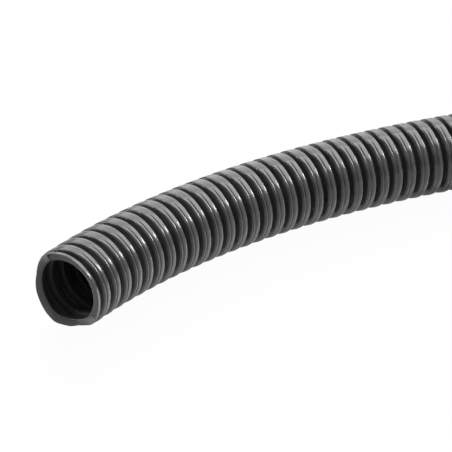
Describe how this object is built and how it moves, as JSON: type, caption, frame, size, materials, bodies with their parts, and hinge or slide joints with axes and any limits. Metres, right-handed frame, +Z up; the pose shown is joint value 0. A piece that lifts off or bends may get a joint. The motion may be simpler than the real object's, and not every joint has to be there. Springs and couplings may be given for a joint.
{
  "type": "corrugated conduit",
  "caption": "Length of thin-walled corrugated plastic conduit with parallel ring waves, open at both ends, lying flat with a gentle bend towards its hand-cut mouth.",
  "frame": {"origin": "on the floor under the middle of the conduit's bounding box", "axes": "+X along the straight part towards the square far end, +Y to the side that the bend turns away from, +Z up from the floor"},
  "size_m": [0.9866, 0.0944, 0.025],
  "materials": {
    "grey_plastic": "semi-gloss dark grey, as moulded"
  },
  "bodies": {
    "root": {"conduit": "grey_plastic"}
  },
  "joints": []
}
